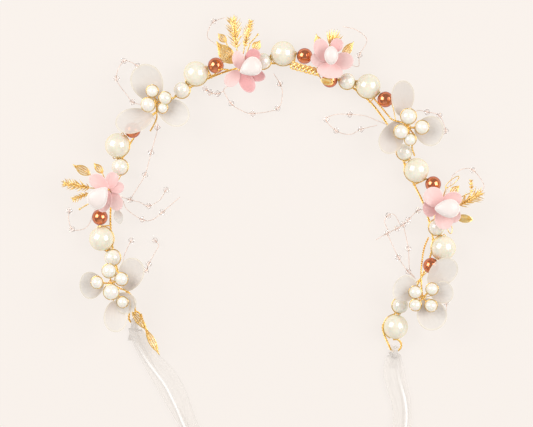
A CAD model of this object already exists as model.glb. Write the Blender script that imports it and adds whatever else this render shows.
import bpy
import numpy as np
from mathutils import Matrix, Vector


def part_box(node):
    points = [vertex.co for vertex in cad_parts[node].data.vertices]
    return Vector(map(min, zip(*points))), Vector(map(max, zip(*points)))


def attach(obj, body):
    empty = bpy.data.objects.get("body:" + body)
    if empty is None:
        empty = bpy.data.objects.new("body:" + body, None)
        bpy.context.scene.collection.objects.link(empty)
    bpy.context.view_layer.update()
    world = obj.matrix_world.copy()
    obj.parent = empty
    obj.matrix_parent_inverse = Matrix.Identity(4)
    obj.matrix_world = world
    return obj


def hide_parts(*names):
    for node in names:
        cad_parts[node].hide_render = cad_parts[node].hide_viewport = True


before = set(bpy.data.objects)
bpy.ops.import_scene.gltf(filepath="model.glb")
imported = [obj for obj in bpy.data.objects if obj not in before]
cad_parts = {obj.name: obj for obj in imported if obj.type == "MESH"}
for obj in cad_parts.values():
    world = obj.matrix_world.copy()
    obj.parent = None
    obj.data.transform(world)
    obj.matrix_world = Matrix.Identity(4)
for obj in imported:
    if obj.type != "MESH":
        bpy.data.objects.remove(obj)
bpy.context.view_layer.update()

mm = 0.001
fullTurn = 2 * np.pi
upward = np.array((0.0, 0.0, 1.0))

view = {"x": -2.94 * mm, "y": 12.96 * mm, "distance": 1.192, "lens": 200, "sensor": 36}
cameraData = bpy.data.cameras.new("camera")
cameraData.lens = view["lens"]
cameraData.sensor_width = view["sensor"]
cameraObject = bpy.data.objects.new("camera", cameraData)
cameraObject.location = (view["x"], view["y"], view["distance"])
bpy.context.scene.collection.objects.link(cameraObject)
bpy.context.scene.camera = cameraObject

studio = {
    "floorColor": (0.922, 0.863, 0.815),
    "floorGlow": 0.88,          # how much of the floor's brightness doesn't depend on the lamps
    "ambient": (1.0, 0.965, 0.93),
    "ambientStrength": 0.44,
    "backdropStrength": 0.86,   # of the same colour where the camera sees past the floor
    "boxes": {                  # azimuth, elevation, distance, size, watts
        "leftBox": (155, 40, 0.8, 0.58, 4.3),
        "rightBox": (12, 42, 0.8, 0.58, 4.3),
        "frontBox": (270, 26, 0.9, 1.2, 1.5),
    },
}


def polarVector(heading, distance=1.0, height=0.0):
    # distance * (cos h, sin h) with the given height
    turn = np.radians(heading)
    return np.array((np.cos(turn) * distance, np.sin(turn) * distance, height))


def lampAt(name, azimuth, elevation, distance, size, watts):
    data = bpy.data.lights.new(name, "AREA")
    data.shape = "SQUARE"
    data.size = size
    data.energy = watts
    lamp = bpy.data.objects.new(name, data)
    rise = np.radians(elevation)
    place = polarVector(azimuth, distance * np.cos(rise), distance * np.sin(rise))
    lamp.location = place
    lamp.rotation_euler = (np.pi / 2 - rise, 0, np.radians(azimuth) + np.pi / 2)
    bpy.context.scene.collection.objects.link(lamp)


for boxName, settings in studio["boxes"].items():
    lampAt(boxName, *settings)
world = bpy.data.worlds.new("studio")
world.use_nodes = True
world.node_tree.nodes["Background"].inputs["Color"].default_value = (*studio["ambient"], 1)
rays = world.node_tree.nodes.new("ShaderNodeLightPath")
seen = world.node_tree.nodes.new("ShaderNodeMix")
seen.inputs["A"].default_value = studio["ambientStrength"]
seen.inputs["B"].default_value = studio["backdropStrength"]
world.node_tree.links.new(rays.outputs["Is Camera Ray"], seen.inputs["Factor"])
world.node_tree.links.new(seen.outputs["Result"],
                          world.node_tree.nodes["Background"].inputs["Strength"])
bpy.context.scene.world = world
bpy.context.scene.view_settings.view_transform = "Standard"
print("camera and lamps ready")


# A skin is (points, quads, triangles, marks); marks hold two surface coordinates and a tone.
def skinFaces(rings, around):
    # a pole, rings of points and a second pole, wound so that faces look outwards
    ring = np.arange(rings - 1)[:, None] * around + 1
    step = np.arange(around)
    following = (step + 1) % around
    quads = np.stack([ring + step, ring + around + step, ring + around + following,
                      ring + following], -1).reshape(-1, 4)
    last = (rings - 1) * around + 1
    start = np.stack([np.zeros(around, int), 1 + step, 1 + following], -1)
    end = np.stack([np.full(around, rings * around + 1), last + following, last + step], -1)
    return quads, np.concatenate([start, end])


def makePiece(name, skins, material, body="crown", replaced=(), smooth=True):
    offsets = np.cumsum([0] + [len(skin[0]) for skin in skins[:-1]])
    points = np.concatenate([skin[0] for skin in skins])
    quads = np.concatenate([skin[1] + offset for skin, offset in zip(skins, offsets)])
    triangles = np.concatenate([skin[2] + offset for skin, offset in zip(skins, offsets)])
    marks = np.concatenate([skin[3] for skin in skins])
    corners = np.concatenate([quads.ravel(), triangles.ravel()]).astype(np.int32)
    sizes = np.concatenate([np.full(len(quads), 4), np.full(len(triangles), 3)])
    starts = np.concatenate([[0], np.cumsum(sizes)[:-1]]).astype(np.int32)
    mesh = bpy.data.meshes.new(name)
    mesh.vertices.add(len(points))
    mesh.vertices.foreach_set("co", points.astype(np.float32).ravel())
    mesh.loops.add(len(corners))
    mesh.loops.foreach_set("vertex_index", corners)
    mesh.polygons.add(len(sizes))
    mesh.polygons.foreach_set("loop_start", starts)
    mesh.polygons.foreach_set("use_smooth", np.full(len(sizes), smooth))
    mesh.update(calc_edges=True)
    layer = mesh.uv_layers.new(name="surface")
    layer.data.foreach_set("uv", marks[corners, :2].astype(np.float32).ravel())
    tone = mesh.attributes.new("tone", "FLOAT", "POINT")
    tone.data.foreach_set("value", marks[:, 2].astype(np.float32))
    mesh.materials.append(material)
    piece = bpy.data.objects.new(name, mesh)
    bpy.context.scene.collection.objects.link(piece)
    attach(piece, body)
    if replaced:
        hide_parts(*replaced)
    return piece


def smoothPath(points, spacing):
    # Catmull-Rom: 0.5 (2b + (c-a)t + (2a-5b+4c-d)t^2 + (3b-a-3c+d)t^3) on each stretch b to c
    points = np.array(points, float)
    ends = np.vstack([2 * points[0] - points[1], points, 2 * points[-1] - points[-2]])
    parts = []
    for a, b, c, d in zip(ends, ends[1:], ends[2:], ends[3:]):
        t = np.arange(max(1, round(np.linalg.norm(c - b) / spacing)))
        t = (t / len(t))[:, None]
        parts.append(0.5 * (2 * b + (c - a) * t + (2 * a - 5 * b + 4 * c - d) * t ** 2
                            + (3 * b - a - 3 * c + d) * t ** 3))
    return np.vstack([*parts, points[-1:]])


def unit(vectors):
    return vectors / np.linalg.norm(vectors, axis=-1, keepdims=True)


def runAlong(path):
    # distance from the path's start to each of its points
    return np.concatenate([[0], np.cumsum(np.linalg.norm(np.diff(path, axis=0), axis=1))])


def framesAlong(path, reference=upward):
    # tangent = dp/ds, side = tangent x reference, lift = side x tangent
    tangent = unit(np.gradient(path, axis=0))
    side = unit(np.cross(tangent, reference))
    return tangent, side, np.cross(side, tangent)


def tubeSkin(path, radius, around=8, reference=upward, tone=0.0):
    # p(s) + r(s) (side cos t + lift sin t), closed by a point at each end
    tangent, side, lift = framesAlong(path, reference)
    radius = np.broadcast_to(radius, len(path))
    turn = np.arange(around) * fullTurn / around
    ring = (side[:, None] * np.cos(turn)[:, None] + lift[:, None] * np.sin(turn)[:, None])
    skin = path[:, None] + ring * radius[:, None, None]
    points = np.vstack([path[:1] - tangent[:1] * radius[0] / 2, skin.reshape(-1, 3),
                        path[-1:] + tangent[-1:] * radius[-1] / 2])
    marks = np.zeros((len(points), 3))
    marks[1:-1, 0] = np.tile(turn / fullTurn, len(path))
    marks[1:-1, 1] = np.repeat(runAlong(path) / mm, around)
    marks[:, 2] = tone
    return points, *skinFaces(len(path), around), marks


def strandSkins(path, count, strandRadius, pitch, around=6, reference=upward):
    # strands wound round the path: p + o (side cos a + lift sin a), a = 2 pi (s / pitch + k / n),
    # with o the distance from the path to each strand's centre
    _, side, lift = framesAlong(path, reference)
    turns = runAlong(path) / pitch
    offset = strandRadius * (1.0 if count == 2 else 1.16)     # two or three strands that touch
    skins = []
    for strand in range(count):
        angle = (fullTurn * (turns + strand / count))[:, None]
        line = path + offset * (side * np.cos(angle) + lift * np.sin(angle))
        skins.append(tubeSkin(line, strandRadius, around, reference))
    return skins


def ballAngles(rings, around):
    # polar angle and turn of a pole, the rings and the other pole
    tilt = np.arange(1, rings + 1) * np.pi / (rings + 1)
    turn = np.arange(around) * fullTurn / around
    return (np.concatenate([[0], np.repeat(tilt, around), [np.pi]]),
            np.concatenate([[0], np.tile(turn, rings), [0]]))


def bladeSkin(centre, axis, length, width, thickness, surface, outline, rings=16, around=36,
              tone=0.0, edge=0.45):
    # disc point (r cos t, r sin t), r = sin(tilt); half width scaled by outline(u); height is
    # surface(u, v) + thickness/2 * sign(cos tilt) |cos tilt|^edge
    tilt, turn = ballAngles(rings, around)
    u = np.sin(tilt) * np.cos(turn)
    v = np.sin(tilt) * np.sin(turn)
    along = u * length / 2
    across = v * width / 2 * outline(u)
    side = np.cos(tilt)
    height = surface(u, v) + thickness / 2 * np.sign(side) * np.abs(side) ** edge
    ahead = polarVector(axis)
    left = polarVector(axis + 90)
    points = centre + along[:, None] * ahead + across[:, None] * left + height[:, None] * upward
    marks = np.stack([0.5 + u / 2, 0.5 + v / 2, np.full(len(u), tone)], -1)
    return points, *skinFaces(rings, around), marks


def ballSkin(centre, radius, rings=14, around=28, bump=0.0, seed=0.0, tone=0.0):
    # radius * (1 + bump * sum of slow sines over the ball)
    tilt, turn = ballAngles(rings, around)
    ball = np.stack([np.sin(tilt) * np.cos(turn), np.sin(tilt) * np.sin(turn), np.cos(tilt)], -1)
    swell = (np.sin(2.3 * ball[:, 0] + seed) * np.cos(1.9 * ball[:, 1] + 2 * seed)
             + 0.5 * np.sin(4.1 * ball[:, 2] + 3 * seed + 2 * ball[:, 0]))
    points = centre + ball * (radius * (1 + bump * swell))[:, None]
    marks = np.stack([turn / fullTurn, tilt / np.pi, np.full(len(tilt), tone)], -1)
    return points, *skinFaces(rings, around), marks


def barbSkin(start, end, width, thickness, rings=4, around=6, tone=0.0):
    # a drop from start to end: half width sin(pi s^0.7) at s along it
    start = np.array(start, float)
    end = np.array(end, float)
    ahead = unit(end - start)
    side = unit(np.cross(ahead, upward))
    lift = np.cross(side, ahead)
    along = np.repeat(np.arange(1, rings + 1) / (rings + 1), around)
    turn = np.tile(np.arange(around) * fullTurn / around, rings)
    swell = np.sin(np.pi * along ** 0.7)
    ring = (start + (end - start) * along[:, None]
            + side * (np.cos(turn) * swell * width / 2)[:, None]
            + lift * (np.sin(turn) * swell * thickness / 2)[:, None])
    points = np.vstack([start, ring, end])
    marks = np.zeros((len(points), 3))
    marks[1:-1, 0] = along
    marks[:, 2] = tone
    return points, *skinFaces(rings, around), marks


def nodeOf(tree, kind, **values):
    made = tree.nodes.new(kind)
    for key, value in values.items():
        setattr(made, key, value)
    return made


def mapRange(tree, value, fromMin=0.0, fromMax=1.0, toMin=0.0, toMax=1.0, smooth=False):
    # carries one range to another, in a straight line or by a smooth step
    made = nodeOf(tree, "ShaderNodeMapRange",
                  interpolation_type="SMOOTHSTEP" if smooth else "LINEAR")
    for label, number in (("From Min", fromMin), ("From Max", fromMax), ("To Min", toMin),
                          ("To Max", toMax)):
        made.inputs[label].default_value = number
    tree.links.new(value, made.inputs["Value"])
    return made.outputs["Result"]


def mixColors(tree, factor, first, second):
    # a colour is a triple or the socket that gives it
    made = nodeOf(tree, "ShaderNodeMix", data_type="RGBA")
    tree.links.new(factor, made.inputs["Factor"])
    for label, color in (("A", first), ("B", second)):
        if isinstance(color, tuple):
            made.inputs[label].default_value = (*color, 1)
        else:
            tree.links.new(color, made.inputs[label])
    return made.outputs["Result"]


def calc(tree, operation, *values):
    # each value is a number or a socket
    made = nodeOf(tree, "ShaderNodeMath", operation=operation)
    for socket, value in zip(made.inputs, values):
        if isinstance(value, (int, float)):
            socket.default_value = value
        else:
            tree.links.new(value, socket)
    return made.outputs["Value"]


def noiseOf(tree, place, detail):
    noise = nodeOf(tree, "ShaderNodeTexNoise")
    noise.inputs["Detail"].default_value = detail
    tree.links.new(place, noise.inputs["Vector"])
    return noise


def bumpNormal(tree, height, strength, depth):
    bump = nodeOf(tree, "ShaderNodeBump")
    bump.inputs["Strength"].default_value = strength
    bump.inputs["Distance"].default_value = depth
    tree.links.new(height, bump.inputs["Height"])
    return bump.outputs["Normal"]


floatSocket, colorSocket, vectorSocket = "NodeSocketFloat", "NodeSocketColor", "NodeSocketVector"


def newGroup(name, inputs, outputs):
    tree = bpy.data.node_groups.new(name, "ShaderNodeTree")
    for label, (kind, value) in inputs.items():
        socket = tree.interface.new_socket(label, in_out="INPUT", socket_type=kind)
        socket.default_value = value
    for label, kind in outputs.items():
        tree.interface.new_socket(label, in_out="OUTPUT", socket_type=kind)
    return tree, nodeOf(tree, "NodeGroupInput"), nodeOf(tree, "NodeGroupOutput")


def colorDriftGroup():
    # mixes two colours by soft noise on object coordinates
    tree, given, result = newGroup(
        "colorDrift", {"First": (colorSocket, (1, 1, 1, 1)), "Second": (colorSocket, (1, 1, 1, 1)),
                       "Scale": (floatSocket, 300.0)}, {"Color": colorSocket})
    place = nodeOf(tree, "ShaderNodeTexCoord")
    noise = noiseOf(tree, place.outputs["Object"], 3)
    tree.links.new(given.outputs["Scale"], noise.inputs["Scale"])
    mask = mapRange(tree, noise.outputs["Fac"], 0.35, 0.65)
    mixed = mixColors(tree, mask, given.outputs["First"], given.outputs["Second"])
    tree.links.new(mixed, result.inputs["Color"])
    return tree


def fineReliefGroup():
    # a bump from noise on object coordinates, finer with a larger scale
    tree, given, result = newGroup(
        "fineRelief", {"Scale": (floatSocket, 2000.0), "Strength": (floatSocket, 0.2),
                       "Depth": (floatSocket, 0.0001)}, {"Normal": vectorSocket})
    place = nodeOf(tree, "ShaderNodeTexCoord")
    noise = noiseOf(tree, place.outputs["Object"], 4)
    bump = nodeOf(tree, "ShaderNodeBump")
    tree.links.new(given.outputs["Scale"], noise.inputs["Scale"])
    tree.links.new(noise.outputs["Fac"], bump.inputs["Height"])
    tree.links.new(given.outputs["Strength"], bump.inputs["Strength"])
    tree.links.new(given.outputs["Depth"], bump.inputs["Distance"])
    tree.links.new(bump.outputs["Normal"], result.inputs["Normal"])
    return tree


def petalLinesGroup():
    # on a blade's own coordinates: veins fan out from its root, the rim is where the disc ends
    tree, given, result = newGroup(
        "petalLines", {"Veins": (floatSocket, 30.0), "Waviness": (floatSocket, 1.5)},
        {"Height": floatSocket, "Rim": floatSocket, "Outward": floatSocket})
    place = nodeOf(tree, "ShaderNodeTexCoord")
    parts = nodeOf(tree, "ShaderNodeSeparateXYZ")
    tree.links.new(place.outputs["UV"], parts.inputs["Vector"])
    along = calc(tree, "MULTIPLY_ADD", parts.outputs["X"], 2, -1)
    across = calc(tree, "MULTIPLY_ADD", parts.outputs["Y"], 2, -1)
    angle = calc(tree, "ARCTAN2", across, calc(tree, "ADD", along, 1.35))
    noise = noiseOf(tree, place.outputs["UV"], 3)
    noise.inputs["Scale"].default_value = 4
    sway = calc(tree, "MULTIPLY", noise.outputs["Fac"], given.outputs["Waviness"])
    spread = calc(tree, "MULTIPLY", angle, given.outputs["Veins"])
    wave = calc(tree, "SINE", calc(tree, "ADD", spread, sway))
    radius = calc(tree, "SQRT", calc(tree, "ADD", calc(tree, "MULTIPLY", along, along),
                                     calc(tree, "MULTIPLY", across, across)))
    tree.links.new(wave, result.inputs["Height"])
    tree.links.new(mapRange(tree, radius, 0.86, 1.0, smooth=True), result.inputs["Rim"])
    tree.links.new(mapRange(tree, along, -0.9, 0.6, smooth=True), result.inputs["Outward"])
    return tree


def organzaGroup():
    # crossing threads on the ribbon's own coordinates, which count millimetres
    tree, given, result = newGroup("organza", {"Threads": (floatSocket, 3.0)},
                                   {"Weave": floatSocket})
    place = nodeOf(tree, "ShaderNodeTexCoord")
    waves = []
    for direction in ("X", "Y"):
        wave = nodeOf(tree, "ShaderNodeTexWave", bands_direction=direction)
        wave.inputs["Distortion"].default_value = 0.4
        tree.links.new(place.outputs["UV"], wave.inputs["Vector"])
        tree.links.new(given.outputs["Threads"], wave.inputs["Scale"])
        waves.append(wave.outputs["Fac"])
    tree.links.new(calc(tree, "MAXIMUM", *waves), result.inputs["Weave"])
    return tree


colorDrift = colorDriftGroup()
fineRelief = fineReliefGroup()
petalLines = petalLinesGroup()
organza = organzaGroup()


def useGroup(tree, group, **values):
    made = nodeOf(tree, "ShaderNodeGroup", node_tree=group)
    for label, value in values.items():
        made.inputs[label].default_value = value
    return made


def finish(name, **sockets):
    # a material with constant values on its shader
    material = bpy.data.materials.new(name)
    material.use_nodes = True
    tree = material.node_tree
    shader = tree.nodes["Principled BSDF"]
    for label, value in sockets.items():
        label = " ".join(word.capitalize() if word != "IOR" else word for word in label.split("_"))
        shader.inputs[label].default_value = value
    return material, tree, shader


def driftAndRelief(tree, shader, first, second, scale, relief, strength, depth):
    drift = useGroup(tree, colorDrift, First=(*first, 1), Second=(*second, 1), Scale=scale)
    bump = useGroup(tree, fineRelief, Scale=relief, Strength=strength, Depth=depth)
    tree.links.new(drift.outputs["Color"], shader.inputs["Base Color"])
    tree.links.new(bump.outputs["Normal"], shader.inputs["Normal"])
    return drift


def pearlFinish(name, first, second, rimColor):
    # ivory with a golden lustre where the surface turns away
    material, tree, shader = finish(name, Roughness=0.24, IOR=1.75, Coat_Weight=1.0,
                                    Coat_Roughness=0.1, Coat_IOR=1.75, Subsurface_Weight=0.1,
                                    Subsurface_Scale=0.002)
    drift = driftAndRelief(tree, shader, first, second, 260, 2600, 0.1, 0.0001)
    facing = nodeOf(tree, "ShaderNodeLayerWeight")
    facing.inputs["Blend"].default_value = 0.5
    lustre = mapRange(tree, facing.outputs["Facing"], 0.35, 0.95, toMax=0.85, smooth=True)
    lustrous = mixColors(tree, lustre, drift.outputs["Color"], rimColor)
    tree.links.new(lustrous, shader.inputs["Base Color"])
    return material


def metalFinish(name, first, second, roughness, tint=None, scale=700, relief=1500, strength=0.3,
                coat=0.0, metallic=1.0):
    material, tree, shader = finish(name, Roughness=roughness, Metallic=metallic, Coat_Weight=coat,
                                    Coat_Roughness=0.06, Coat_IOR=1.9)
    if tint:
        shader.inputs["Specular Tint"].default_value = (*tint, 1)
    driftAndRelief(tree, shader, first, second, scale, relief, strength, 0.00012)
    return material


def petalFinish(name, inner, outer, dark, rimColor, rimShare, veins, veinDepth, alpha=None, **sockets):
    # inner colour at the root to outer at the tip, darkened by tone, with a rim and veins
    material, tree, shader = finish(name, **sockets)
    lines = useGroup(tree, petalLines, Veins=veins)
    outward = lines.outputs["Outward"]
    tone = nodeOf(tree, "ShaderNodeAttribute", attribute_name="tone")
    shaded = mixColors(tree, tone.outputs["Fac"], mixColors(tree, outward, inner, outer), dark)
    rim = calc(tree, "MULTIPLY", lines.outputs["Rim"], rimShare)
    tree.links.new(mixColors(tree, rim, shaded, rimColor), shader.inputs["Base Color"])
    veinNormal = bumpNormal(tree, lines.outputs["Height"], veinDepth, 0.0002)
    tree.links.new(veinNormal, shader.inputs["Normal"])
    if alpha:
        clear = mapRange(tree, outward, toMin=alpha[0], toMax=alpha[1])
        tree.links.new(clear, shader.inputs["Alpha"])
    return material


def organzaFinish():
    # sheer cloth that glows a little with the light behind it, whiter along its fold
    material, tree, shader = finish("organza", Roughness=0.45, Sheen_Weight=0.5,
                                    Sheen_Roughness=0.3, Emission_Strength=0.3)
    weave = useGroup(tree, organza, Threads=2.4).outputs["Weave"]
    fold = nodeOf(tree, "ShaderNodeAttribute", attribute_name="tone").outputs["Fac"]
    for socket, plain, folded in (("Base Color", (0.56, 0.53, 0.50), (0.80, 0.79, 0.78)),
                                  ("Emission Color", (0.92, 0.86, 0.81), (1.0, 0.98, 0.96))):
        tree.links.new(mixColors(tree, fold, plain, folded), shader.inputs[socket])
    cover = mapRange(tree, weave, toMin=0.24, toMax=0.48)
    tree.links.new(calc(tree, "MAXIMUM", cover, fold), shader.inputs["Alpha"])
    tree.links.new(bumpNormal(tree, weave, 0.3, 0.0001), shader.inputs["Normal"])
    return material


largePearl = pearlFinish("ivoryPearl", (0.79, 0.745, 0.60), (0.83, 0.795, 0.67), (0.90, 0.74, 0.30))
smallPearl = pearlFinish("smallPearl", (0.82, 0.78, 0.68), (0.86, 0.83, 0.76), (0.90, 0.74, 0.34))
copper = metalFinish("copperPearl", (0.82, 0.22, 0.045), (0.60, 0.13, 0.02), 0.16,
                     tint=(0.30, 0.08, 0.04), scale=900, relief=2600, strength=0.25, coat=1.0)
gold = metalFinish("gold", (1.0, 0.74, 0.30), (0.93, 0.56, 0.12), 0.16, strength=0.25)
leafGold = metalFinish("leafGold", (1.0, 0.76, 0.36), (0.92, 0.56, 0.14), 0.2, strength=0.3,
                       metallic=0.7)
roseWire = metalFinish("roseWire", (0.93, 0.76, 0.66), (0.80, 0.60, 0.50), 0.3)
frosted = petalFinish("frostedPetal", (0.74, 0.66, 0.60), (0.77, 0.73, 0.685), (0.62, 0.50, 0.44),
                      (0.90, 0.82, 0.62), 0.6, 34, 0.1, alpha=(0.80, 0.58), Roughness=0.42,
                      Sheen_Weight=0.15)
pink = petalFinish("pinkPetal", (0.83, 0.49, 0.47), (0.83, 0.59, 0.56), (0.68, 0.27, 0.28),
                   (0.86, 0.68, 0.65), 0.5, 22, 0.05, Roughness=0.42, Coat_Weight=0.25,
                   Coat_Roughness=0.25)
budWhite = petalFinish("creamBud", (0.80, 0.71, 0.67), (0.81, 0.735, 0.705), (0.9, 0.8, 0.75),
                       (0.96, 0.94, 0.92), 0.9, 16, 0.05, Roughness=0.4, Coat_Weight=0.2,
                       Coat_Roughness=0.2)
crystalGlass, _, _ = finish("crystalGlass", Base_Color=(1.0, 0.90, 0.87, 1), Roughness=0.04,
                            IOR=1.4, Transmission_Weight=1.0, Alpha=0.6)
organzaCloth = organzaFinish()
print("finishes ready")

floorSize = 12.0
floorHeight = -0.3 * mm
floorMesh = bpy.data.meshes.new("floor")
floorMesh.from_pydata([(x * floorSize, y * floorSize, floorHeight)
                       for x, y in ((-1, -1), (1, -1), (1, 1), (-1, 1))], [], [(0, 1, 2, 3)])
floor = bpy.data.objects.new("floor", floorMesh)
bpy.context.scene.collection.objects.link(floor)
glow = studio["floorGlow"]
paper, _, _ = finish("palePaper", Roughness=0.9, Specular_IOR_Level=0.0,
                     Base_Color=(*(channel * (1 - glow) for channel in studio["floorColor"]), 1),
                     Emission_Color=(*studio["floorColor"], 1), Emission_Strength=glow)
floorMesh.materials.append(paper)

arch = {
    "halfWidth": 67 * mm,
    "halfHeight": 66 * mm,
    "pearls": [(184.4, 1.4), (152.1, 3.0), (116.1, 2.1), (86.2, 3.4), (55.7, 1.9),
               (21.4, -4.5), (-7.4, 2.6), (-39.5, -2.4)],     # degrees, mm outside the arch
    "flowers": {"a": (199.9, 0.9), "b": (167.2, -0.5), "c": (132.5, 0.8), "d": (101.3, -2.6),
                "e": (70.3, 3.7), "f": (36.2, 0.5), "g": (6.4, 0.4), "h": (-25.9, 0.0)},
    "eyelets": {"left": (214.2, -0.6), "right": (-44.3, 2.6)},
}
bead = {"large": 4.9 * mm, "line": 3.2 * mm, "copper": 3.2 * mm, "bore": 0.75 * mm,
        "gap": 0.6 * mm, "wire": 0.18 * mm, "wallRings": 5, "wallShare": 0.85}
level = {"bead": 4.9 * mm, "flower": 10.65 * mm, "spray": 8.75 * mm, "eyelet": 1.5 * mm,
         "stemFoot": 5.38 * mm, "core": 0.5 * mm, "tendril": 2.4 * mm}


def boxCentre(node):
    low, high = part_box(node)
    return (np.array(low) + np.array(high)) / 2


def onArch(angle, side=0.0, height=0.0):
    # ellipse point plus side times its outward normal; angle may be an array
    turn = np.radians(angle)
    cosine, sine = np.cos(turn), np.sin(turn)
    point = np.stack([arch["halfWidth"] * cosine, arch["halfHeight"] * sine,
                      np.full_like(cosine, height)], -1)
    normal = unit(np.stack([cosine / arch["halfWidth"], sine / arch["halfHeight"],
                            np.zeros_like(cosine)], -1))
    return point + normal * np.asarray(side)[..., None]


firstAngle, firstSide = arch["pearls"][0]
shift = boxCentre("large_pearl_1") - onArch(firstAngle, firstSide * mm, level["bead"])
shift[2] = 0.0


def hubOf(letter, height):
    angle, side = arch["flowers"][letter]
    return onArch(angle, side * mm, height) + shift


def eyeletOf(side, height):
    angle, offset = arch["eyelets"][side]
    return onArch(angle, offset * mm, height) + shift


stringOrder = []
for group in range(1, 9):
    if group == 5:
        stringOrder.append("copper_bead_5")
    stringOrder += [f"line_pearl_{group}", f"large_pearl_{group}"]
    if group < 8:
        stringOrder.append(f"copper_bead_{group + (group >= 5)}")
centres = np.array([boxCentre(node) for node in stringOrder])
radii = np.array([bead[node.split("_")[0]] for node in stringOrder])


def stringTangents():
    # towards both neighbours, or only the touching one beside a flower
    before = np.vstack([centres[:1], centres[:-1]])
    after = np.vstack([centres[1:], centres[-1:]])
    near = np.linalg.norm(np.diff(centres, axis=0), axis=1) < 2 * bead["large"]
    nearBefore = np.concatenate([[False], near])
    nearAfter = np.concatenate([near, [False]])
    onlyBefore = (nearBefore & ~nearAfter)[:, None]
    onlyAfter = (nearAfter & ~nearBefore)[:, None]
    tangent = np.where(onlyBefore, centres - before, np.where(onlyAfter, after - centres,
                                                              after - before))
    return unit(tangent)


tangents = stringTangents()


def drilledSkin(centre, axis, radius, around=56, rings=34):
    # a half circle between the bore's rims, then the bore's wall, turned round the axis
    rim = np.arcsin(bead["bore"] / radius)
    tilt = np.linspace(rim, np.pi - rim, rings)
    outer = np.stack([radius * np.sin(tilt), radius * np.cos(tilt)], -1)
    mouth = radius * np.cos(rim) * bead["wallShare"]
    rows = bead["wallRings"]
    wall = np.stack([np.full(rows, bead["bore"]), np.linspace(-mouth, mouth, rows)], -1)
    profile = np.vstack([outer, wall])
    turn = np.arange(around) * fullTurn / around
    side = unit(np.cross(axis, upward))
    lift = np.cross(axis, side)
    ring = side * np.cos(turn)[:, None] + lift * np.sin(turn)[:, None]
    points = (centre + profile[:, None, :1] * ring + profile[:, None, 1:] * axis).reshape(-1, 3)
    row = np.arange(len(profile))[:, None]
    step = np.arange(around)
    below = ((row + 1) % len(profile)) * around
    following = (step + 1) % around
    quads = np.stack([row * around + step, below + step, below + following,
                      row * around + following], -1).reshape(-1, 4)
    marks = np.zeros((len(points), 3))
    return points, quads, np.zeros((0, 3), int), marks


beadLooks = {"large": (largePearl, "large_pearl"), "line": (smallPearl, "line_pearl"),
             "copper": (copper, "copper")}
for node, centre, axis, radius in zip(stringOrder, centres, tangents, radii):
    material, slotName = beadLooks[node.split("_")[0]]
    makePiece(node + "_turned", [drilledSkin(centre, axis, radius)], material,
              body=node + "_body", replaced=[node])
print("beads ready")

mouths = np.sqrt(radii ** 2 - bead["bore"] ** 2) + bead["gap"] / 2
entering = centres - tangents * mouths[:, None]
leaving = centres + tangents * mouths[:, None]
stringPoints = np.stack([entering, leaving], 1).reshape(-1, 3)
makePiece("beadWire", [tubeSkin(smoothPath(stringPoints, 0.8 * mm), bead["wire"], 8)], gold,
          replaced=["bead_wire"])

coreWire = {"strands": 3, "strandRadius": 0.2 * mm, "pitch": 3.4 * mm, "offset": 3.85 * mm,
            "from": 208, "to": -42.5, "eyeletRadius": 2.4 * mm}


def corePath():
    # inside the pearls at a fixed distance, with a loop of 270 degrees at each end
    pearlAngles, pearlSides = np.array(arch["pearls"][::-1]).T
    angle = np.linspace(coreWire["from"], coreWire["to"], 35)
    side = np.interp(angle, pearlAngles, pearlSides) * mm - coreWire["offset"]
    middle = onArch(angle, side, level["core"]) + shift
    loop = 30 * np.arange(10)
    left = [eyeletOf("left", level["eyelet"]) + polarVector(450 - turn, coreWire["eyeletRadius"])
            for turn in loop]
    right = [eyeletOf("right", level["eyelet"]) + polarVector(200 + turn, coreWire["eyeletRadius"])
             for turn in loop]
    return smoothPath(np.vstack([left, middle, right]), 0.3 * mm)


coreLine = corePath()
coreSkins = strandSkins(coreLine, coreWire["strands"], coreWire["strandRadius"], coreWire["pitch"])
corePiece = makePiece("coreStrands", coreSkins, gold, replaced=["core_wire"])

cradle = {"wire": 0.17 * mm, "clear": 0.05 * mm, "below": 0.3 * mm,
          "large": 75, "line": 105}    # degrees to each side


def cradleSkins():
    # arcs of fine wire that hug the inner side of each pearl, a little under its widest line
    skins = []
    heart = shift + np.array((0, 0, level["bead"]))
    for node, centre, axis, radius in zip(stringOrder, centres, tangents, radii):
        kind = node.split("_")[0]
        if kind == "copper":
            continue
        inward = heart - centre
        inward[2] = 0
        inward = unit(inward - axis * (inward @ axis))
        span = np.radians(np.linspace(-cradle[kind], cradle[kind], 40))[:, None]
        reach = np.sqrt((radius + cradle["clear"] + cradle["wire"]) ** 2 - cradle["below"] ** 2)
        path = centre + reach * (inward * np.cos(span) + axis * np.sin(span))
        path[:, 2] -= cradle["below"]
        skins.append(tubeSkin(path, cradle["wire"], 6))
    return skins


wrap = {"wire": 0.13 * mm, "clear": 0.62 * mm, "spread": 0.2 * mm, "turns": 2,
        "widestGap": 1.5 * mm, "longestReach": 9 * mm}


def wrapSkins():
    # turns of fine wire round the bead wire and the core, between each pair of touching beads
    skins = []
    for index in range(len(centres) - 1):
        between = (leaving[index] + entering[index + 1]) / 2
        gap = np.linalg.norm(entering[index + 1] - leaving[index])
        nearest = coreLine[np.argmin(np.linalg.norm(coreLine - between, axis=1))]
        toCore = nearest - between
        if gap > wrap["widestGap"] or np.linalg.norm(toCore) > wrap["longestReach"]:
            continue
        long = unit(toCore)
        axis = unit(centres[index + 1] - centres[index])
        thick = unit(np.cross(long, axis))
        turn = np.linspace(0, fullTurn * wrap["turns"], 60)[:, None]
        half = np.linalg.norm(toCore) / 2 + wrap["clear"]
        path = ((between + nearest) / 2 + long * half * np.cos(turn)
                + thick * wrap["clear"] * np.sin(turn)
                + axis * (turn / fullTurn - 1) * wrap["spread"])
        skins.append(tubeSkin(path, wrap["wire"], 6, reference=axis))
    return skins


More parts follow.
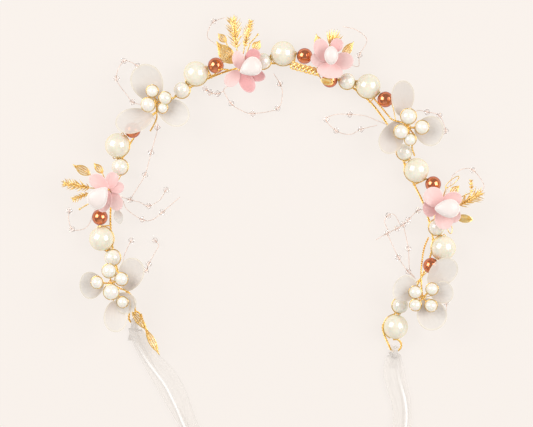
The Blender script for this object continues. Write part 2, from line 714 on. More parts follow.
makePiece("cradleWire", cradleSkins() + wrapSkins(), gold)
print("wires ready")

frostedFlowers = {
    "thickness": 0.32 * mm, "stagger": 0.3 * mm, "bowl": 1.2 * mm, "cup": 0.5 * mm, "taper": 0.16,
    "petals": {   # heading, distance, length, width, lean, tone
        "a": [(186, 7.9, 9.6, 10.8, 0, 0.0), (24, 8.5, 13.6, 10.2, 50, 0.1),
              (277, 13.3, 12.4, 9.2, 0, 0.0), (306, 9.6, 9.0, 8.4, 0, 0.0)],
        "c": [(115, 8.1, 16.4, 12.6, 0, 0.0), (219, 11.4, 15.2, 10.0, -25, 0.1),
              (330, 8.3, 12.4, 10.4, 0, 0.0)],
        "f": [(101, 11.7, 14.4, 9.2, -12, 0.2), (351, 8.4, 11.6, 12.0, 0, 0.05),
              (211, 7.5, 14.0, 9.6, 35, 0.35)],
        "h": [(53, 12.7, 14.0, 10.0, -10, 0.0), (152, 7.7, 10.0, 11.0, 0, 0.0),
              (298, 7.7, 11.8, 11.8, 0, 0.0), (17, 8.0, 9.0, 9.0, 0, 0.0)],
    },
}
pinkFlowers = {
    "thickness": 0.6 * mm, "stagger": 0.24 * mm, "bowl": 0.9 * mm, "cup": 0.45 * mm, "taper": 0.12,
    "petals": {
        "b": [(298, 5.3, 7.8, 5.8, 0, 0.05), (250, 5.6, 7.8, 5.6, 0, 0.15), (13, 3.6, 5.2, 4.8, 0, 0.2),
              (73, 4.2, 6.2, 5.2, 0, 0.15), (144, 5.4, 7.8, 5.8, 0, 0.05)],
        "d": [(47, 7.3, 7.0, 5.8, 0, 0.75), (343, 6.4, 8.4, 5.2, 0, 0.7), (300, 5.9, 8.4, 6.0, 0, 0.7),
              (228, 4.5, 7.6, 5.6, 0, 0.0), (97, 4.3, 7.0, 5.0, 0, 0.0)],
        "e": [(71, 6.8, 5.8, 5.2, 0, 0.3), (171, 4.8, 7.0, 6.2, 0, 0.05), (2, 5.3, 7.2, 7.0, 0, 0.1),
              (262, 4.0, 5.6, 10.4, 0, 0.0), (131, 5.8, 9.6, 6.2, -26, 0.2)],
        "g": [(183, 3.9, 5.6, 7.2, 0, 0.4), (330, 5.6, 7.6, 6.6, 0, 0.15), (290, 5.1, 8.0, 7.4, 0, 0.1),
              (30, 6.0, 7.8, 6.6, 0, 0.2), (120, 4.9, 8.0, 7.8, 0, 0.0)],
    },
}
stem = {
    "radius": 0.32 * mm, "hole": 0.38 * mm,
    "binding": {"wire": 0.15 * mm, "offset": 0.16 * mm, "pitch": 0.42 * mm, "below": 0.9 * mm},
    "eye": {"wire": 0.18 * mm, "radius": 1.2 * mm, "turns": 2.2, "below": 0.55 * mm},
    "petalWire": {"wire": 0.16 * mm, "start": 0.4 * mm, "shortest": 2 * mm, "rise": 0.35 * mm,
                  "sag": 0.1 * mm},
}
shortRoot = 2.4     # a straight petal that starts nearer than this, mm, is drawn on to the stem


def petalSkins(letter, settings):
    # u along the petal and v across it: bowl (distance / 10 mm)^2 + cup (v^2 - 0.4) and a ripple
    # that grows from the petal's middle to its rim
    hub = hubOf(letter, level["flower"])
    skins = []
    for number, (heading, reach, length, width, lean, tone) in enumerate(settings["petals"][letter]):
        tip = reach + length / 2
        if not lean and reach - length / 2 < shortRoot:
            reach = (tip + stem["hole"] / mm) / 2
            length = tip - stem["hole"] / mm
        reach = reach * mm
        axis = heading + lean
        middle = polarVector(heading, reach)
        ahead = polarVector(axis)
        left = polarVector(axis + 90)
        outline = lambda u: 1 + settings["taper"] * u - 0.06 * u ** 2

        def surface(u, v):
            flat = (middle[None] + ahead[None] * (u * length * mm / 2)[:, None]
                    + left[None] * (v * width * mm / 2)[:, None])
            away = np.linalg.norm(flat[:, :2], axis=1)
            return (settings["bowl"] * (away / (10 * mm)) ** 2 + settings["cup"] * (v ** 2 - 0.4)
                    + 0.14 * mm * np.sin(5 * v + 3 * u + number) * (u ** 2 + v ** 2))

        centre = hub + middle + upward * (number * settings["stagger"] - 0.2 * mm)
        skins.append(bladeSkin(centre, axis, length * mm, width * mm, settings["thickness"],
                               surface, outline, 22, 44, tone))
    return skins


def sagWire(start, end, sag, spacing, radius, around=6):
    # a wire whose middle hangs a little under the straight line
    middle = (start + end) / 2 - upward * sag
    return tubeSkin(smoothPath([start, middle, end], spacing), radius, around)


def helixPath(foot, top, radius, pitch, points=20):
    # foot + r (cos a, sin a) with a and the height growing together, points to a turn
    turns = (top[2] - foot[2]) / pitch
    angle = np.linspace(0, fullTurn * turns, max(8, int(points * turns)))[:, None]
    share = angle / angle[-1]
    return foot + (top - foot) * share + radius * np.hstack([np.cos(angle), np.sin(angle), 0 * angle])


def flowerWireSkins(letter, petals, top):
    # the stem, its binding, the twisted eye under the petals and a wire out to each of them
    foot = hubOf(letter, level["stemFoot"])
    head = foot.copy()
    head[2] = top
    across = np.array((1.0, 0.3, 0.0))
    skins = [tubeSkin(np.linspace(foot, head, 6), stem["radius"], 10, reference=across)]
    binding, eye, arm = stem["binding"], stem["eye"], stem["petalWire"]
    bindTop = foot.copy()
    bindTop[2] = level["flower"] - binding["below"]
    helix = helixPath(foot, bindTop, stem["radius"] + binding["offset"], binding["pitch"])
    skins.append(tubeSkin(helix, binding["wire"], 6))
    hub = hubOf(letter, level["flower"] - eye["below"])
    for heading, reach, *_ in petals:
        inner = hub + polarVector(heading, arm["start"])
        outer = hub + polarVector(heading, max(reach * mm, arm["shortest"]), arm["rise"])
        skins.append(sagWire(inner, outer, arm["sag"], 0.8 * mm, arm["wire"]))
    turn = np.linspace(0, fullTurn * eye["turns"], 60)[:, None]
    twist = hub + eye["radius"] * np.hstack([np.cos(turn), np.sin(turn), turn * 0.02])
    skins.append(tubeSkin(twist, eye["wire"], 6))
    return skins


clusters = {   # heading, distance, radius and lift
    "a": [(98, 5.0, 2.8, 0), (176, 5.5, 2.4, 0), (22, 4.5, 2.6, 0), (272, 3.4, 3.1, 0),
          (302, 8.8, 2.2, 0)],
    "c": [(110, 4.7, 2.4, 0), (25, 3.8, 2.5, 0), (197, 3.4, 2.8, 0), (317, 3.4, 2.0, -0.8)],
    "f": [(90, 4.3, 3.1, 0), (0, 5.3, 2.7, 0), (211, 3.5, 2.8, 0), (278, 4.9, 2.3, -0.6)],
    "h": [(141, 4.0, 2.5, 0), (47, 5.2, 2.4, 0), (220, 4.0, 2.3, 0), (318, 4.2, 2.4, 0)],
}
clusterWire = {"arm": 0.16 * mm, "armPitch": 1.1 * mm, "armDrop": 1.6 * mm, "armSag": 0.5 * mm,
               "ring": 0.14 * mm, "ringClear": 0.1 * mm, "ringDrop": 0.25 * mm, "ringTilt": 0.22}
stack = {"firstPetal": 0.45 * mm, "nextPetal": 0.13 * mm, "gap": 0.4 * mm, "pearlRise": 0.6 * mm}


def petalsTop(count):
    # where the pearls or the bud may start, over a flower of that many petals
    return level["flower"] + stack["firstPetal"] + stack["nextPetal"] * (count - 1) + stack["gap"]


def clusterHeight(letter):
    largest = max(radius for _, _, radius, _ in clusters[letter]) * mm
    return petalsTop(len(frostedFlowers["petals"][letter])) + largest + stack["pearlRise"]


def clusterWireSkins(letter):
    # a twisted arm to each pearl, and a fine tilted ring round it near its widest line
    top = hubOf(letter, clusterHeight(letter))
    skins = []
    for heading, reach, radius, lift in clusters[letter]:
        centre = top + polarVector(heading, reach * mm, lift * mm)
        start = top - upward * clusterWire["armDrop"]
        middle = (start + centre) / 2 - upward * clusterWire["armSag"]
        arm = smoothPath([start, middle, centre], 0.12 * mm)
        skins.extend(strandSkins(arm, 2, clusterWire["arm"], clusterWire["armPitch"]))
        turn = np.linspace(0, fullTurn * 0.97, 48)[:, None] + np.radians(heading)
        ring = np.hstack([np.cos(turn), np.sin(turn), clusterWire["ringTilt"] * np.sin(turn + 1.0)])
        ring = ring * (radius * mm + clusterWire["ringClear"]) - upward * clusterWire["ringDrop"]
        skins.append(tubeSkin(centre + ring, clusterWire["ring"], 6))
    return skins


for letter, petals in frostedFlowers["petals"].items():
    makePiece(f"frostedPetals_{letter}", petalSkins(letter, frostedFlowers), frosted,
              replaced=[f"frosted_petals_{letter}"])
    top = hubOf(letter, clusterHeight(letter))
    pearls = [ballSkin(top + polarVector(heading, reach * mm, lift * mm), radius * mm, bump=0.022,
                       seed=heading * 0.1) for heading, reach, radius, lift in clusters[letter]]
    makePiece(f"clusterPearls_{letter}", pearls, smallPearl,
              replaced=[f"pearl_cluster_{letter}"])
    makePiece(f"clusterWires_{letter}",
              clusterWireSkins(letter)
              + flowerWireSkins(letter, petals, top[2] - clusterWire["armDrop"]), gold)
print("frosted flowers ready")

buds = {   # heading, distance, length, width, thickness, tip, how triangular
    "b": (218, 4.8, 9.8, 7.6, 5.2, 50, 0.42),
    "d": (12, 4.3, 9.2, 7.2, 5.2, 205, 0.42),
    "e": (92, 2.2, 7.4, 5.6, 5.0, 90, 0.0),
    "g": (352, 2.9, 10.0, 7.2, 5.2, 180, 0.3),
}


budStem = 1.4 * mm      # of the stem above the flower's level, hidden in the bud


def budSkin(letter):
    # a thick blade over the petals' bowl, narrower towards its tip: half width 1 - k u - 0.1 u^2
    heading, reach, length, width, thickness, tip, narrow = buds[letter]
    risen = pinkFlowers["bowl"] * ((reach + length / 2) / 10) ** 2
    height = petalsTop(len(pinkFlowers["petals"][letter])) + risen + thickness * mm / 2
    centre = hubOf(letter, height) + polarVector(heading, reach * mm)
    surface = lambda u, v: -0.25 * mm * u ** 2
    outline = lambda u: 1 - narrow * u - 0.1 * u ** 2
    return bladeSkin(centre, tip, length * mm, width * mm, thickness * mm * 0.86, surface, outline,
                     26, 48, edge=0.75)


for letter, petals in pinkFlowers["petals"].items():
    makePiece(f"pinkPetals_{letter}", petalSkins(letter, pinkFlowers), pink,
              replaced=[f"pink_petals_{letter}"])
    makePiece(f"creamBud_{letter}", [budSkin(letter)], budWhite, replaced=[f"bud_{letter}"])
    makePiece(f"budWires_{letter}", flowerWireSkins(letter, petals, level["flower"] + budStem), gold)
print("pink flowers ready")

paleLeaf = {"flower": "b", "centre": (3.6, -10.8, -1.0), "length": 6.2 * mm, "width": 3.8 * mm,
            "thickness": 0.32 * mm, "axis": 285, "wire": 0.1 * mm, "below": 0.6 * mm}


def paleLeafSkins():
    # a small frosted leaf just inside the bead string, on its own wire from the flower
    root = hubOf(paleLeaf["flower"], level["spray"] - paleLeaf["below"])
    centre = root + np.array(paleLeaf["centre"]) * mm
    ahead = polarVector(paleLeaf["axis"], paleLeaf["length"] / 2)
    surface = lambda u, v: 0.3 * mm * v ** 2 + 0.1 * mm * np.sin(4 * u + 2 * v)
    outline = lambda u: 1 - 0.4 * u ** 2
    blade = bladeSkin(centre, paleLeaf["axis"], paleLeaf["length"], paleLeaf["width"],
                      paleLeaf["thickness"], surface, outline, 18, 36)
    return blade, sagWire(root, centre - ahead, 0.0, 0.8 * mm, paleLeaf["wire"])


leafBlade, leafWire = paleLeafSkins()
makePiece("paleLeaf", [leafBlade], frosted)
makePiece("paleLeafWire", [leafWire], gold)

sprays = {   # kind, heading, distance, length, width, direction
    "b": [("ribbed", 144, 13.8, 8.2, 3.8, 150), ("ribbed", 117, 9.8, 5.6, 3.0, 132),
          ("feather", 173, 12.4, 10.6, 4.6, 170), ("feather", 193, 11.3, 6.4, 3.2, 200),
          ("bar", 214, 11.4, 5.4, 2.0, 211)],
    "d": [("ribbed", 130, 9.6, 11.4, 6.0, 128), ("ribbed", 119, 15.0, 5.0, 3.0, 135),
          ("feather", 98, 14.0, 11.8, 6.4, 98), ("feather", 78, 14.3, 10.8, 3.8, 76),
          ("bar", 66, 13.6, 5.0, 1.8, 48), ("ribbed", 56, 12.2, 4.6, 3.6, 56)],
    "e": [("ribbed", 122, 9.9, 6.0, 3.4, 104), ("fan", 84, 9.6, 9.6, 7.0, 74),
          ("ribbed", 37, 8.6, 8.0, 3.4, 52), ("braid", 196, 10.6, 12.0, 4.0, 165),
          ("oval", 258, 8.1, 5.2, 3.0, 165)],
    "g": [("feather", 14, 12.0, 9.6, 6.0, 30), ("feather", 32, 15.2, 4.6, 2.4, 95),
          ("loop", 63, 11.4, 7.0, 1.8, 40), ("ribbed", 48, 9.6, 5.2, 3.2, 45),
          ("oval", 336, 10.9, 7.0, 3.4, 352), ("hook", 297, 9.2, 4.4, 1.8, 280)],
}


rods = {"spacing": 0.66 * mm, "margin": 0.3 * mm, "bow": 0.7, "thin": 0.17 * mm, "swell": 0.15 * mm,
        "arch": 0.4 * mm, "lift": 0.25 * mm}


def ribbedLeaf(centre, axis, length, width, seed):
    # open leaf of bright rods, each bowed sideways by its place times sin(pi share)^0.7
    chance = np.random.default_rng(seed)
    ahead, left = polarVector(axis), polarVector(axis + 90)
    share = np.linspace(0, 1, 18)
    bow = np.sin(np.pi * share)
    skins = []
    for place in np.linspace(-1, 1, max(3, int(width / rods["spacing"]))):
        reach = 1 - 0.14 * abs(place) - 0.08 * chance.random()
        rise = rods["arch"] * (1 - abs(place)) * bow + rods["lift"] * chance.random() * share
        path = (centre - ahead * length / 2 + ahead * (share * length * reach)[:, None]
                + left * (place * (width / 2 - rods["margin"]) * bow ** rods["bow"])[:, None]
                + upward * rise[:, None])
        skins.append(tubeSkin(path, rods["thin"] + rods["swell"] * bow, 7))
    return skins


def ovalLeaf(centre, axis, length, width, _):
    # a blade with raised sides and a groove along its middle
    surface = lambda u, v: 0.4 * mm * v ** 2 - 0.3 * mm * np.exp(-9 * v ** 2) * (1 - u ** 2)
    outline = lambda u: 1 - 0.25 * u ** 2
    return [bladeSkin(centre, axis, length, width, 0.7 * mm, surface, outline, 18, 40, edge=0.7)]


feather = {"spacing": 1.0 * mm, "quill": 0.2 * mm, "bend": 0.2 * mm, "rise": 0.6 * mm,
           "barbLength": 0.76, "barbWidth": 0.52 * mm, "barbThickness": 0.42 * mm,
           "sides": (-1, 1, -0.35, 0.35)}


def featherSkins(centre, axis, length, width, seed):
    # at each step two barbs leave the quill at 32 to 50 degrees and two at a third of that,
    # longest in the middle
    chance = np.random.default_rng(seed)
    ahead, left = polarVector(axis), polarVector(axis + 90)
    base = centre - ahead * length / 2
    quill = smoothPath([base, base + ahead * length * 0.5 + left * feather["bend"],
                        base + ahead * length * 0.97 + upward * feather["rise"]], 0.5 * mm)
    skins = [tubeSkin(quill, feather["quill"], 6)]
    ranks = int(length / feather["spacing"])
    for rank in range(ranks):
        share = 0.08 + 0.88 * rank / (ranks - 1)
        root = base + ahead * length * share + upward * 0.5 * mm * share
        swell = 0.6 + 0.4 * np.sin(np.pi * share)
        for way in feather["sides"]:
            angle = axis + way * (32 + 18 * chance.random())
            size = width * feather["barbLength"] * swell * (0.8 + 0.4 * chance.random())
            tip = root + polarVector(angle, size, (1.5 * chance.random() - 0.2) * mm)
            skins.append(barbSkin(root, tip, feather["barbWidth"], feather["barbThickness"]))
    return skins


fan = {"drops": 8, "spread": 27, "stalk": 0.16 * mm, "width": 0.78 * mm, "thickness": 0.6 * mm}


def fanSkins(centre, axis, length, width, seed):
    # long drops spreading from one root, in two layers, shorter towards the sides
    chance = np.random.default_rng(seed)
    root = centre - polarVector(axis, length / 2)
    skins = []
    for number, lean in enumerate(np.linspace(-fan["spread"], fan["spread"], fan["drops"])):
        size = length * (1.0 - 0.16 * abs(lean) / 26 - 0.1 * chance.random())
        layer = number % 2
        start = root + polarVector(axis + lean, size * 0.25, layer * 0.4 * mm)
        tip = root + polarVector(axis + lean, size, (0.5 + 0.5 * layer) * mm)
        skins.append(tubeSkin(np.linspace(root, start, 3), fan["stalk"], 6))
        skins.append(barbSkin(start, tip, fan["width"], fan["thickness"], 8, 8))
    return skins


bar = {"wire": 0.26 * mm, "endBall": 0.48 * mm, "middleBall": 0.36 * mm}


def barSkins(centre, axis, length, *_):
    # a straight wire with a small ball at its end and a smaller one near its middle
    ahead = polarVector(axis)
    start, end = centre - ahead * length / 2, centre + ahead * length / 2
    return [tubeSkin(np.linspace(start, end, 8), bar["wire"], 8),
            ballSkin(end, bar["endBall"], 7, 12),
            ballSkin(start + ahead * length * 0.45, bar["middleBall"], 6, 10)]


loopWire = {"radius": 0.17 * mm, "rise": 0.3 * mm, "closed": 0.96}


def loopSkins(centre, axis, length, width, _):
    # a wire out and back: an ellipse that stays open at its root
    turn = np.linspace(-loopWire["closed"], loopWire["closed"], 50)[:, None] * np.pi
    path = (centre + polarVector(axis) * (length / 2 * np.cos(turn))
            + polarVector(axis + 90) * (width / 2 * np.sin(turn))
            + upward * loopWire["rise"] * np.cos(turn))
    return [tubeSkin(path, loopWire["radius"], 6)]


braid = {"strands": 3, "turns": 2.2, "height": 0.5 * mm, "radius": 0.42 * mm, "swell": 0.12 * mm}


def braidSkins(centre, axis, length, width, _):
    # strands that swap sides: across = 0.35 w sin(a), height = h cos(a)
    share = np.linspace(-1, 1, 90)[:, None]
    skins = []
    for strand in range(braid["strands"]):
        angle = share * np.pi * braid["turns"] + strand * fullTurn / braid["strands"]
        path = (centre + polarVector(axis) * (length / 2 * share)
                + polarVector(axis + 90) * (width * 0.35 * np.sin(angle))
                + upward * (braid["height"] * np.cos(angle)))
        radius = braid["radius"] + braid["swell"] * np.cos(angle[:, 0] * 2)
        skins.append(tubeSkin(path, radius, 8))
    return skins


leafKinds = {"ribbed": ribbedLeaf, "oval": ovalLeaf, "feather": featherSkins, "fan": fanSkins,
             "bar": barSkins, "braid": braidSkins, "loop": loopSkins, "hook": loopSkins}
sprayWire = {"radius": 0.24 * mm, "sag": 0.2 * mm, "start": 1.2 * mm, "layer": 0.25 * mm,
             "overlap": 0.42, "firstSeed": 7}

for letter, leaves in sprays.items():
    root = hubOf(letter, level["spray"])
    skins = []
    for number, (kind, heading, reach, length, width, axis) in enumerate(leaves):
        centre = root + polarVector(heading, reach * mm, sprayWire["layer"] * number)
        skins.extend(leafKinds[kind](centre, axis, length * mm, width * mm,
                                     number + sprayWire["firstSeed"]))
        inner = root + polarVector(heading, sprayWire["start"])
        outer = centre - polarVector(axis, length * mm * sprayWire["overlap"])
        skins.append(sagWire(inner, outer, sprayWire["sag"], 0.6 * mm, sprayWire["radius"], 7))
    makePiece(f"goldSpray_{letter}", skins, leafGold, replaced=[f"gold_spray_{letter}"])
print("gold sprays ready")

tendrils = {   # flower, then wires as points from its hub with the crystals' point numbers
    "tendril_a": ("a", [
        ([(3, 2), (4.5, 10), (6, 14), (7.5, 17)], [3]),
        ([(4, 1), (10, 3), (13.5, 5), (14.5, 7.5), (17, 12), (18.5, 15), (17, 17)], [2, 3, 6]),
    ]),
    "tendril_b_outer": ("b", [
        ([(-2, -3), (-6, -8), (-8.5, -14), (-11.5, -16), (-15.2, -15.8), (-16.6, -12),
          (-16.4, -8.4)], [4, 6]),
    ]),
    "tendril_inner_left": ("b", [
        ([(5, -3), (8, -4), (12, -5), (15.5, -6.5), (20, -4), (22.5, 0)], [1, 3, 5]),
        ([(5, -4), (7, -8), (13, -12), (17, -12), (21, -9), (28, -3)], [2, 4]),
        ([(8, -4), (10.5, 0), (14, 6), (16.5, 15), (19, 25), (17, 30)], [2, 3, 4]),
    ]),
    "tendril_c_outer": ("c", [
        ([(-5, -1), (-10, 0.5), (-12, 3), (-16.5, 10), (-13.5, 17), (-8, 15), (-7, 13)],
         [1, 3, 4, 5]),
    ]),
    "tendril_d": ("d", [
        ([(-3, -3), (-5, -6), (-6.5, -8), (-3.5, -13), (0, -15.5), (5, -17), (15, -15),
          (17, -9), (16, -5), (13.5, -1)], [3, 5, 6, 8]),
        ([(-6.5, -8), (-9, -9), (-12, -8.5), (-14, -7)], [1, 2, 3]),
        ([(-3, 3), (-9, 10), (-13, 13.5), (-12.5, 17), (-10.5, 20), (-6, 21.5)], [4]),
    ]),
    "tendril_e": ("e", [
        ([(6, 0), (11, -1.5), (11.5, 3), (14.5, 9), (10.5, 13), (5, 14.5)], [2]),
    ]),
    "tendril_f": ("f", [
        ([(-7, 1), (-12, 3), (-17, 5), (-23, 5.5), (-28.5, 5.5), (-32.5, 3.5), (-28.5, -1),
          (-23, -2.5), (-18.5, -0.5), (-12, 1.2)], [3, 5, 6, 8]),
        ([(2, 4), (4, 7), (8, 6.5), (13, 5), (15.5, -1), (14, -3)], [2, 3, 4]),
    ]),
    "tendril_g_outer": ("g", [
        ([(5, 9.5), (6, 13), (10, 15.5), (14, 15), (18, 10), (18, 7), (16, 5)], [3]),
    ]),
    "tendril_inner_right": ("g", [
        ([(-3, -1), (-8, -1.2), (-12, -5), (-14, -6.8), (-16.5, -8.4), (-20.5, -10.4),
          (-25, -13)], [1, 2, 3, 4, 5]),
        ([(-15, -7.5), (-17.5, -3), (-20, -3.2), (-21.5, -5.6), (-20, -9.6)], [2]),
        ([(-14, -6.8), (-12, -16.5), (-11.5, -25), (-9.5, -28)], [1]),
        ([(-20.5, -10.4), (-16, -20), (-12, -25.8), (-9, -28.8)], [1, 2]),
    ]),
    "tendril_h": ("h", [
        ([(5, -4), (8.5, -2), (9.8, -2), (10, -5), (9, -7)], [2, 4]),
    ]),
}
tendrilWire = {"strand": 0.07 * mm, "pitch": 1.3 * mm, "stemWire": 0.15 * mm, "stemSag": 0.4 * mm}
crystal = {"radius": 1.25 * mm, "sides": 8, "places": (-0.95, -0.2, 0.2, 0.95),
           "widths": (0.34, 1.0, 1.0, 0.34)}


def crystalSkin(centre, axis):
    # a faceted bead: four rings, each at its place along the wire, in shares of the radius
    sides, radius = crystal["sides"], crystal["radius"]
    along = np.repeat(crystal["places"], sides) * radius
    width = np.repeat(crystal["widths"], sides) * radius
    turn = np.tile(np.arange(sides) * fullTurn / sides, len(crystal["places"]))
    side = unit(np.cross(axis, upward))
    lift = np.cross(side, axis)
    rings = (centre + axis * along[:, None] + side * (np.cos(turn) * width)[:, None]
             + lift * (np.sin(turn) * width)[:, None])
    points = np.vstack([centre + axis * along[0], rings, centre + axis * along[-1]])
    return points, *skinFaces(len(crystal["places"]), sides), np.zeros((len(points), 3))


for node, (letter, wires) in tendrils.items():
    hub = hubOf(letter, level["tendril"])
    wireSkins = []
    crystalSkins = []
    for points, crystals in wires:
        route = hub + np.array([(x * mm, y * mm, 0) for x, y in points])
        path = smoothPath(route, 0.13 * mm)
        wireSkins.extend(strandSkins(path, 2, tendrilWire["strand"], tendrilWire["pitch"], around=5))
        tangent = framesAlong(path)[0]
        for index in crystals:
            nearest = np.argmin(np.linalg.norm(path - route[index], axis=1))
            crystalSkins.append(crystalSkin(route[index], tangent[nearest]))
    start = hub + np.array((*wires[0][0][0], 0)) * mm
    root = hubOf(letter, level["stemFoot"])
    bend = (root * 2 + start) / 3 - upward * tendrilWire["stemSag"]
    wireSkins.append(tubeSkin(smoothPath([root, bend, start], 0.5 * mm), tendrilWire["stemWire"], 6))
    makePiece(node + "_wires", wireSkins, roseWire, replaced=[node])
    makePiece(node + "_crystals", crystalSkins, crystalGlass, smooth=False)
print("tendrils ready")

looseWires = {   # flower, points from its hub with their height, mm
    "strandF": ("f", [(-13.4, 11.9, 4), (-8.1, 5.1, 9.3), (-6.4, 3.2, 11.4), (-2.2, 1.8, 12.4),
                      (0.1, -0.2, 13), (2.9, -4.1, 12.4), (1.7, -7.5, 9.5), (2.9, -11.1, 5.2)]),
    "strandA": ("a", [(0.6, -0.4, 12.6), (3.4, -2, 12.2), (6.7, -3.6, 9.5), (8.8, -7.2, 6.2),
                      (9.2, -10.8, 5.2), (9.0, -12.6, 4.9)]),
    "strandC": ("c", [(-0.2, 0.4, 13), (0, -3, 12.2), (0, -6, 9.5), (-1.4, -9, 6.4),
                      (-2.8, -11.2, 4.6)]),
    "strandH": ("h", [(2.8, 24.2, 2.5), (0.9, 19.3, 2.6), (-0.3, 11.6, 6), (-0.6, 6.8, 10.6),
                      (-0.4, 3.2, 12.4), (0, 0, 12.8)]),
    "strandD": ("d", [(-12.8, -2, 3.4), (-10.4, -1.6, 4.6), (-8, 0.4, 7.6), (-4.4, 0.2, 9.4)]),
}
looseTwist = {"strand": 0.19 * mm, "pitch": 1.9 * mm}
looseSkins = []
for letter, points in looseWires.values():
    path = smoothPath(hubOf(letter, 0.0) + np.array(points) * mm, 0.16 * mm)
    looseSkins.extend(strandSkins(path, 2, looseTwist["strand"], looseTwist["pitch"]))
makePiece("looseStrands", looseSkins, gold)

endLeaf = {   # from the left eyelet: stem points, and centre, direction, length, width of leaves
    "height": 4.5 * mm, "strand": 0.2 * mm, "pitch": 1.8 * mm, "leafBelow": 0.3 * mm,
    "stem": [(2.6, 1.5), (4.2, -4), (6, -9)],
    "leaves": [(2.4, -1.8, -50, 10.6, 3.0), (7.6, -10.6, -62, 12.4, 3.0)],
    "firstSeed": 3,
}


def endLeafSkins():
    # two open leaves, one after the other along a twisted stem
    foot = eyeletOf("left", endLeaf["height"])
    points = foot + np.array([(x, y, 0) for x, y in endLeaf["stem"]]) * mm
    skins = strandSkins(smoothPath(points, 0.16 * mm), 2, endLeaf["strand"], endLeaf["pitch"])
    for number, (x, y, axis, length, width) in enumerate(endLeaf["leaves"]):
        centre = foot + np.array((x, y, 0)) * mm - upward * endLeaf["leafBelow"]
        skins.extend(ribbedLeaf(centre, axis, length * mm, width * mm,
                                number + endLeaf["firstSeed"]))
    return skins


makePiece("endLeaf", endLeafSkins(), leafGold, replaced=["end_leaf"])
print("loose wires ready")

ribbons = {   # a band's points from its eyelet with its width there, mm
    "flatWidth": 12 * mm, "thickness": 0.09 * mm, "tail": 7 * mm, "columns": 61,
    "rollRadius": 7.9 * mm, "rollCore": 2.6 * mm, "rollPitch": 0.5 * mm, "rollWidth": 8.8 * mm,
    "foldPlace": -0.15, "topFold": {"left": -1, "right": 1}, "foldShine": 1.1 * mm,
    "layerGap": 0.32 * mm, "rollGap": 0.1 * mm, "floorGap": 0.12 * mm, "rest": 0.55 * mm,
    "landing": 6 * mm, "landingHeight": 0.2 * mm, "shineStart": 16 * mm,
    "pleats": {"coarse": 4, "fine": 9, "sway": 9 * mm, "drift": 6 * mm},
    "left": [(-0.2, -4.6, 4.8), (2.0, -9.1, 6.4), (6.7, -17.1, 7.6), (12.8, -25.6, 9.8),
             (16.9, -33.2, 9.4), (21.5, -43.2, 7.4), (26, -54, 8.0)],
    "right": [(-0.6, -4, 5.6), (-0.6, -10, 8.6), (0.6, -16, 8.6), (2.2, -22, 8.0),
              (2.8, -28, 7.4), (2.4, -34, 7.6), (2.0, -42, 8.0)],
}


def ribbonPath(side):
    # tail under the band, up through the eyelet, over its wire, along the floor, then a spiral
    eyelet = eyeletOf(side, 0.0)
    rows = np.array([(x, y, 0, width) for x, y, width in ribbons[side]]) * mm
    heading = unit(rows[0, :3])
    ring = coreWire["eyeletRadius"]
    overWire = level["eyelet"] + 1.25 * mm
    over = [(ring + ribbons["tail"], 0.15 * mm, 5.0 * mm), (ring + 3 * mm, 0.2 * mm, 3.6 * mm)]
    over += [(ring + reach * mm, height * mm, 2.6 * mm) for reach, height in (
        (0.2, 0.3), (-0.95, 0.7), (-1.15, 1.6), (-0.8, 2.6), (0, overWire / mm), (0.9, 2.4),
        (1.9, 1.3))]
    loop = np.array([[*(eyelet + heading * reach + upward * height), width]
                     for reach, height, width in over])
    rows[:, :3] += eyelet + upward * ribbons["rest"]
    flat = smoothPath(np.vstack([loop, rows]), 0.5 * mm)
    flat[:, 2] = np.maximum(flat[:, 2], ribbons["floorGap"])
    toRoll = np.linalg.norm(flat[:, :3] - rows[-1, :3], axis=1)
    drop = np.clip(toRoll / ribbons["landing"], 0, 1)     # comes down where the roll starts
    flat[:, 2] = flat[:, 2] * drop + ribbons["landingHeight"] * (1 - drop)
    run = unit(rows[-1, :3] - rows[-2, :3])
    radius, pitch = ribbons["rollRadius"], ribbons["rollPitch"]
    turns = (radius - ribbons["rollCore"]) / pitch
    angle = np.linspace(0, fullTurn * turns, int(30 * turns))[1:, None]
    reach = radius - pitch * angle / fullTurn
    hub = rows[-1, :3].copy()
    hub[2] = radius + 0.1 * mm
    spiral = hub + run * reach * np.sin(angle) - upward * reach * np.cos(angle)
    widths = np.full((len(spiral), 1), ribbons["rollWidth"])
    return np.vstack([flat, np.hstack([spiral, widths])]), len(flat)


def levelHeading(line, flatCount, side):
    # the band's level direction: straight from the eyelet in the loop, held through the roll
    tangent = unit(np.gradient(line, axis=0))
    index = np.arange(len(line))[:, None]
    heading = np.where(index < flatCount, tangent * (1, 1, 0), 0)
    last = unit(line[flatCount - 1] - line[flatCount - 8]) * (1, 1, 0)
    heading = np.where(np.linalg.norm(heading, axis=1)[:, None] > 0.3, heading, last)
    start = unit(np.array([*ribbons[side][0][:2], 0.0]))
    return tangent, unit(np.where(index < flatCount // 4, start, heading))


def smoothStep(value):
    return value * value * (3 - 2 * value)


def foldedBand(width, t, side, rolled):
    # across and above the path at share t of the cloth: out, back over the overlap, out again
    overlap = np.clip((ribbons["flatWidth"] - width) / 2, 0, width * 0.7)
    middle = ribbons["foldPlace"] * width
    edge = width / 2
    turnA, turnB = middle + overlap / 2, middle - overlap / 2
    lengths = np.hstack([turnA + edge, overlap, edge - turnB])
    knots = np.cumsum(lengths, axis=1) / lengths.sum(axis=1, keepdims=True)
    starts = np.hstack([0 * width, knots[:, :2]])
    first, second, third = (np.clip((t - starts[:, k:k + 1]) / (knots - starts)[:, k:k + 1], 0, 1)
                            for k in range(3))
    x = -edge + (turnA + edge) * first - overlap * second + (edge - turnB) * third
    gap = np.where(rolled, ribbons["rollGap"], ribbons["layerGap"])
    z = gap * (smoothStep(second) + (third > 0) * (1 - smoothStep(third) * 0.8))
    return x * ribbons["topFold"][side], z, knots[:, 1:2]


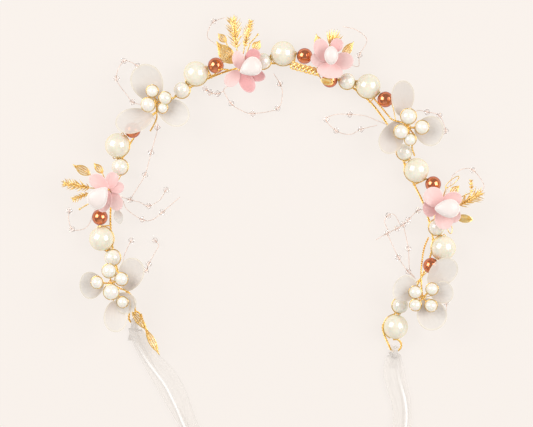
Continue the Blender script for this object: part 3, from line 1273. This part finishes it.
def ribbonPiece(side):
    # path + x across + z normal; z adds slow pleats, deeper where the band is narrower
    path, flatCount = ribbonPath(side)
    line, width = path[:, :3], path[:, 3:]
    tangent, heading = levelHeading(line, flatCount, side)
    across = np.cross(heading, upward)
    normal = np.cross(across, tangent)
    cloth, columns = ribbons["flatWidth"], ribbons["columns"]
    t = np.linspace(0, 1, columns)
    rolled = (np.arange(len(line)) >= flatCount)[:, None]
    x, z, foldLine = foldedBand(width, t, side, rolled)
    run = runAlong(line)[:, None]
    squeeze = np.clip((cloth - width) / cloth, 0, 1)
    pleat = ribbons["pleats"]
    sway = 0.9 * np.sin(run / pleat["sway"]) + 0.6
    pleats = (0.8 * np.sin(fullTurn * pleat["coarse"] * t + sway)
              + 0.35 * np.sin(fullTurn * pleat["fine"] * t + run / pleat["drift"]))
    z = z + np.where(rolled, 0.0, 1.0) * (0.16 + 0.9 * squeeze ** 2) * mm * (0.5 + 0.45 * pleats)
    shine = np.clip(1.3 - np.abs(t - foldLine) * cloth / ribbons["foldShine"], 0, 0.7)
    shine = np.where(rolled, 0.0, shine * np.clip(run / ribbons["shineStart"] - 1, 0, 1))
    points = line[:, None] + across[:, None] * x[..., None] + normal[:, None] * z[..., None]
    points = points.reshape(-1, 3)
    points[:, 2] = np.maximum(points[:, 2], 0.02 * mm)
    row = np.arange(len(line) - 1)[:, None] * columns
    step = np.arange(columns - 1)
    quads = np.stack([row + step, row + step + 1, row + columns + step + 1, row + columns + step],
                     -1).reshape(-1, 4)[:, ::ribbons["topFold"][side]]
    marks = np.stack(np.broadcast_arrays(t * cloth / mm, run / mm, shine), -1).reshape(-1, 3)
    piece = makePiece(f"{side}Ribbon", [(points, quads, np.zeros((0, 3), int), marks)], organzaCloth,
                      body=f"{side}_ribbon", replaced=[f"ribbon_{side}"])
    wall = piece.modifiers.new("thickness", "SOLIDIFY")
    wall.thickness = ribbons["thickness"]
    wall.offset = 0
    print(side, "ribbon", round(float(run[-1, 0]) / mm), "mm long")


for side in ("left", "right"):
    ribbonPiece(side)
print("ribbons ready")
